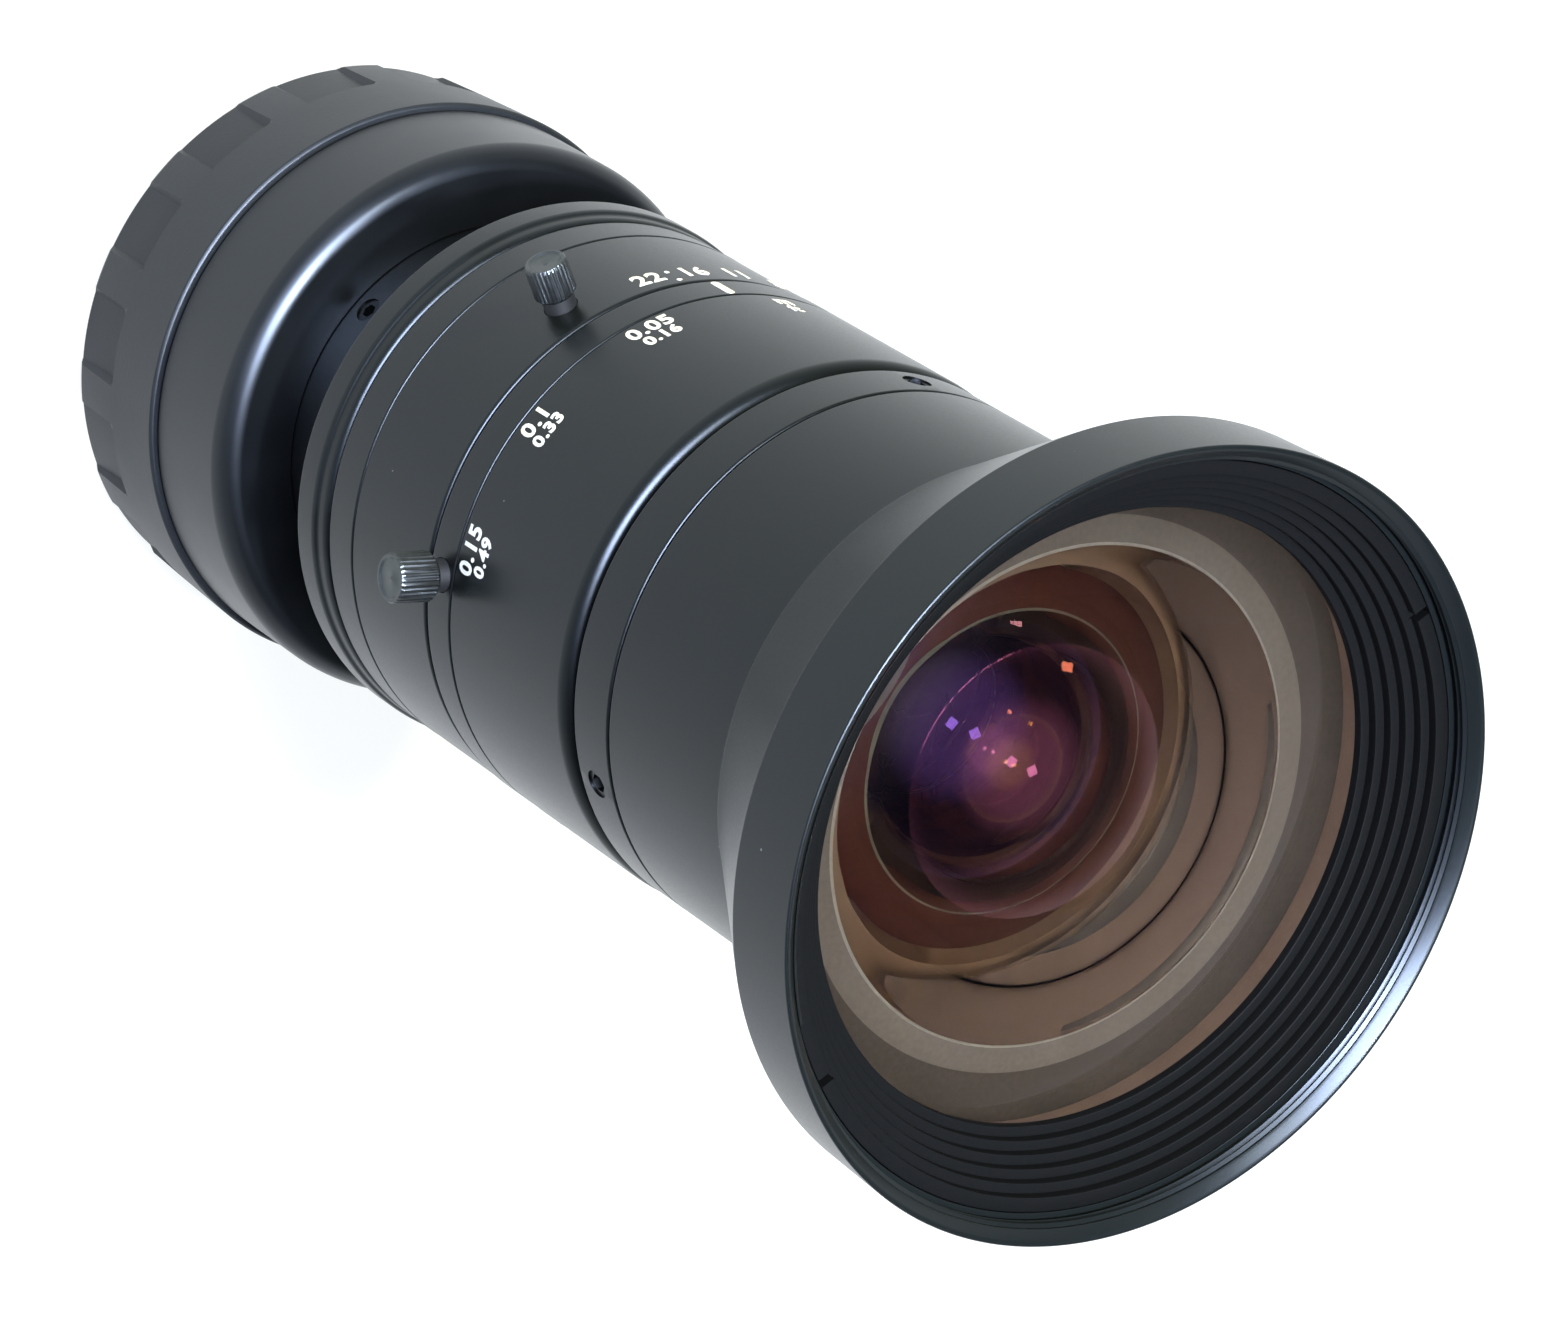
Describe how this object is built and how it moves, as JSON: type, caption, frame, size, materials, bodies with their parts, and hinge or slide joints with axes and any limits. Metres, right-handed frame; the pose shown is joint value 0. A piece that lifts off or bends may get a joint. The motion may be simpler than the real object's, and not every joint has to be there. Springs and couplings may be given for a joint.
{
  "type": "c-mount machine vision lens",
  "caption": "Machine vision lens with a C-mount thread, flared front barrel with filter thread, iris and focus rings with lock screws, and a rear dust cap it stands on.",
  "frame": {"origin": "centre of the dust cap's rear face, on the lens axis", "axes": "+Z along the lens axis towards the front glass; the index mark faces -Y"},
  "size_m": [0.0403, 0.0402, 0.0772],
  "materials": {
    "black_anodised": "satin black anodised",
    "gloss_black_metal": "smooth gloss black anodised",
    "cap_plastic": "moulded, slightly satin black",
    "knob_metal": "blackened with straight knurl",
    "blackened_steel": "blackened",
    "blade_steel": "matt black coated sheet",
    "coated_glass": "polished with a purple anti-reflection coating"
  },
  "bodies": {
    "lens_body": {"fifth_element_front": "coated_glass", "fifth_element_rear": "coated_glass", "fifth_retaining_ring": "black_anodised", "focus_key": "blackened_steel", "focus_snap_ring": "blackened_steel", "fourth_element": "coated_glass", "fourth_retaining_ring": "black_anodised", "index_ring": "black_anodised", "iris_base_plate": "black_anodised", "iris_retainer": "black_anodised", "main_barrel": "black_anodised", "middle_cell": "black_anodised", "mount_ring": "gloss_black_metal", "neck_set_screws": "blackened_steel", "rear_cell": "black_anodised", "rear_retaining_ring": "black_anodised", "rear_spacer": "black_anodised", "seventh_element": "coated_glass", "sixth_element": "coated_glass"},
    "dust_cap": {"rear_dust_cap": "cap_plastic"},
    "iris_control": {"iris_ring": "black_anodised", "iris_drive_screw": "blackened_steel", "iris_cam_ring": "black_anodised"},
    "iris_lock": {"iris_lock_screw": "knob_metal"},
    "focus_lock": {"focus_lock_screw": "knob_metal"},
    "focus_control": {"focus_ring": "black_anodised"},
    "front_group": {"helicoid_sleeve": "black_anodised", "clamp_ring": "black_anodised", "clamp_ring_set_screws": "blackened_steel", "front_barrel": "black_anodised", "front_element": "coated_glass", "front_retaining_ring": "black_anodised", "second_element": "coated_glass", "second_retaining_ring": "black_anodised", "third_element": "coated_glass", "third_retaining_ring": "black_anodised"},
    "blade_1": {"iris_blade_1": "blade_steel"},
    "blade_2": {"iris_blade_2": "blade_steel"},
    "blade_3": {"iris_blade_3": "blade_steel"},
    "blade_4": {"iris_blade_4": "blade_steel"},
    "blade_5": {"iris_blade_5": "blade_steel"},
    "blade_6": {"iris_blade_6": "blade_steel"}
  },
  "joints": [
    {"name": "dust_cap_pull", "type": "slide", "parent": "lens_body", "child": "dust_cap", "axis": [0, 0, -1], "range_m": [0, 0.05]},
    {"name": "iris_turn", "type": "hinge", "parent": "lens_body", "child": "iris_control", "pos_m": [0, 0, 0.0318], "axis": [0, 0, 1], "range_deg": [-10, 60]},
    {"name": "iris_blade_1_swing", "type": "hinge", "parent": "lens_body", "child": "blade_1", "pos_m": [0.009, 0, 0.0295], "axis": [0, 0, 1], "range_deg": [-24.5, 4.5]},
    {"name": "iris_blade_2_swing", "type": "hinge", "parent": "lens_body", "child": "blade_2", "pos_m": [0.0045, 0.00779, 0.0295], "axis": [0, 0, 1], "range_deg": [-24.5, 4.5]},
    {"name": "iris_blade_3_swing", "type": "hinge", "parent": "lens_body", "child": "blade_3", "pos_m": [-0.0045, 0.00779, 0.0295], "axis": [0, 0, 1], "range_deg": [-24.5, 4.5]},
    {"name": "iris_blade_4_swing", "type": "hinge", "parent": "lens_body", "child": "blade_4", "pos_m": [-0.009, 0, 0.0295], "axis": [0, 0, 1], "range_deg": [-24.5, 4.5]},
    {"name": "iris_blade_5_swing", "type": "hinge", "parent": "lens_body", "child": "blade_5", "pos_m": [-0.0045, -0.00779, 0.0295], "axis": [0, 0, 1], "range_deg": [-24.5, 4.5]},
    {"name": "iris_blade_6_swing", "type": "hinge", "parent": "lens_body", "child": "blade_6", "pos_m": [0.0045, -0.00779, 0.0295], "axis": [0, 0, 1], "range_deg": [-24.5, 4.5]},
    {"name": "iris_lock_turn", "type": "hinge", "parent": "iris_control", "child": "iris_lock", "pos_m": [0.00718, -0.01317, 0.0332], "axis": [0.4787, -0.878, 0], "range_deg": [0, 540]},
    {"name": "focus_turn", "type": "hinge", "parent": "lens_body", "child": "focus_control", "pos_m": [0, 0, 0.0438], "axis": [0, 0, 1], "range_deg": [-176.2, 0.2]},
    {"name": "focus_slide", "type": "slide", "parent": "lens_body", "child": "front_group", "axis": [0, 0, 1], "range_m": [-0.00045, 0]},
    {"name": "focus_lock_turn", "type": "hinge", "parent": "lens_body", "child": "focus_lock", "pos_m": [0.01499, -0.00039, 0.03707], "axis": [0.9997, -0.0262, 0], "range_deg": [0, 540]}
  ],
  "couplings": [
    {"joint": "iris_blade_1_swing", "follows": "iris_turn", "ratio": -0.4},
    {"joint": "iris_blade_2_swing", "follows": "iris_turn", "ratio": -0.4},
    {"joint": "iris_blade_3_swing", "follows": "iris_turn", "ratio": -0.4},
    {"joint": "iris_blade_4_swing", "follows": "iris_turn", "ratio": -0.4},
    {"joint": "iris_blade_5_swing", "follows": "iris_turn", "ratio": -0.4},
    {"joint": "iris_blade_6_swing", "follows": "iris_turn", "ratio": -0.4},
    {"joint": "focus_turn", "follows": "focus_slide", "rad_per_m": 6826.2}
  ]
}
